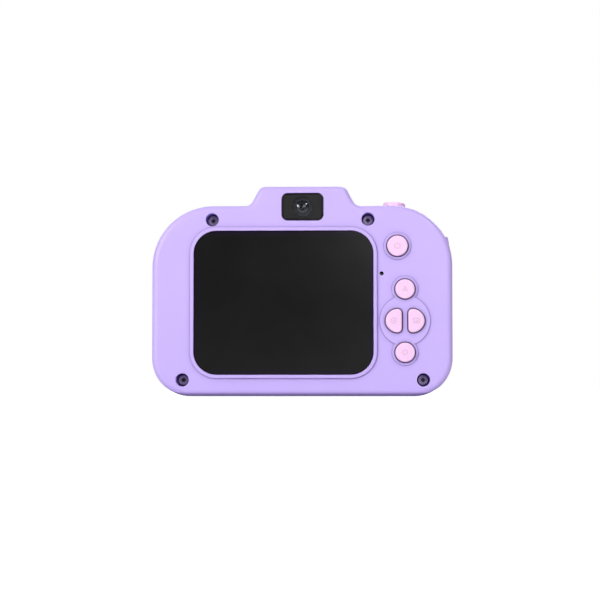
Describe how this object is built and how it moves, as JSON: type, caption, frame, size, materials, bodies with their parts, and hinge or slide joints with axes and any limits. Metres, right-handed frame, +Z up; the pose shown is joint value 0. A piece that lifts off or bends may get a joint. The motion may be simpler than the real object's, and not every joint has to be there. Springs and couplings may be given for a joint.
{
  "type": "kids digital camera",
  "caption": "Compact toy camera with rear screen, keypad, top shutter, front lens ring, selfie lens and memory card slot.",
  "frame": {"origin": "middle of the flat underside, on the surface that the camera stands on, half way through the case", "axes": "+Z up, +Y out of the lens, -Y out of the screen, +X to the right for someone looking at the screen"},
  "size_m": [0.1, 0.0365, 0.0699],
  "materials": {
    "case_plastic": "satin moulded ABS, lilac",
    "pink_plastic": "smooth moulded ABS, pale pink",
    "screen_acrylic": "back-printed acrylic, glossy black",
    "dark_acrylic": "smoked acrylic with a clear middle",
    "lens_acrylic": "smoked acrylic lens cover",
    "clear_acrylic": "frosted clear acrylic",
    "screw_steel": "nickel-plated steel",
    "port_steel": "plated sheet steel",
    "circuit_board": "solder-masked glass-epoxy laminate",
    "chip_resin": "epoxy moulding compound",
    "board_parts": "ceramic and nylon small parts",
    "switch_plastic": "black nylon",
    "lcd_module": "display module, glass in a thin frame",
    "white_plastic": "white ABS",
    "flex_film": "polyimide film",
    "black_plastic": "black polycarbonate",
    "lens_glass": "coated optical glass",
    "led_resin": "phosphor-coated LED",
    "battery_pouch": "foil pouch cell, aluminium laminate",
    "foam_tape": "double-sided foam tape",
    "wire_insulation": "PVC-insulated wire",
    "black_rubber": "silicone rubber",
    "paper_cone": "coated paper",
    "magnet": "ferrite magnet in a plated cup",
    "card_resin": "moulded card"
  },
  "bodies": {
    "case": {"battery": "battery_pouch", "battery_tape": "foam_tape", "battery_wires": "wire_insulation", "board_chips": "chip_resin", "board_parts": "board_parts", "board_screws": "screw_steel", "card_socket": "port_steel", "case_screws": "screw_steel", "flash_board": "circuit_board", "flash_led": "led_resin", "flash_window": "clear_acrylic", "flash_wires": "wire_insulation", "front_shell": "case_plastic", "keypad_switches": "switch_plastic", "lcd_bracket": "white_plastic", "lcd_flex": "flex_film", "lcd_panel": "lcd_module", "lens_baffle": "black_plastic", "lens_cover": "lens_acrylic", "lens_ring": "pink_plastic", "main_board": "circuit_board", "main_camera_flex": "flex_film", "main_lens_barrel": "black_plastic", "main_lens_glass": "lens_glass", "main_processor": "chip_resin", "main_sensor_board": "circuit_board", "main_sensor_holder": "black_plastic", "mic_boot": "black_rubber", "microphone": "port_steel", "rear_shell": "case_plastic", "screen_window": "screen_acrylic", "selfie_board": "circuit_board", "selfie_flex": "flex_film", "selfie_holder": "black_plastic", "selfie_lens_barrel": "black_plastic", "selfie_lens_glass": "lens_glass", "selfie_window": "dark_acrylic", "shutter_board": "circuit_board", "shutter_switch": "switch_plastic", "shutter_wires": "wire_insulation", "speaker_cone": "paper_cone", "speaker_frame": "port_steel", "speaker_magnet": "magnet", "speaker_wires": "wire_insulation", "strap_loop": "case_plastic", "usb_port": "port_steel"},
    "power_key": {"power_button": "pink_plastic", "power_plunger": "switch_plastic"},
    "up_key": {"up_button": "pink_plastic", "up_plunger": "switch_plastic"},
    "down_key": {"down_button": "pink_plastic", "down_plunger": "switch_plastic"},
    "left_key": {"left_button": "pink_plastic", "left_plunger": "switch_plastic"},
    "right_key": {"right_button": "pink_plastic", "right_plunger": "switch_plastic"},
    "shutter_key": {"shutter_button": "pink_plastic", "shutter_plunger": "switch_plastic"},
    "card": {"memory_card": "card_resin"}
  },
  "joints": [
    {"name": "power_press", "type": "slide", "parent": "case", "child": "power_key", "axis": [0, 1, 0], "range_m": [0, 0.0003], "stiffness_N_per_m": 1500, "springref_m": -0.0006},
    {"name": "up_press", "type": "slide", "parent": "case", "child": "up_key", "axis": [0, 1, 0], "range_m": [0, 0.0003], "stiffness_N_per_m": 1500, "springref_m": -0.0006},
    {"name": "down_press", "type": "slide", "parent": "case", "child": "down_key", "axis": [0, 1, 0], "range_m": [0, 0.0003], "stiffness_N_per_m": 1500, "springref_m": -0.0006},
    {"name": "left_press", "type": "slide", "parent": "case", "child": "left_key", "axis": [0, 1, 0], "range_m": [0, 0.0003], "stiffness_N_per_m": 1500, "springref_m": -0.0006},
    {"name": "right_press", "type": "slide", "parent": "case", "child": "right_key", "axis": [0, 1, 0], "range_m": [0, 0.0003], "stiffness_N_per_m": 1500, "springref_m": -0.0006},
    {"name": "shutter_press", "type": "slide", "parent": "case", "child": "shutter_key", "axis": [0, 0, -1], "range_m": [0, 0.0004], "stiffness_N_per_m": 1500, "springref_m": -0.0006},
    {"name": "card_slide", "type": "slide", "parent": "case", "child": "card", "axis": [-1, 0, 0], "range_m": [0, 0.013]}
  ]
}
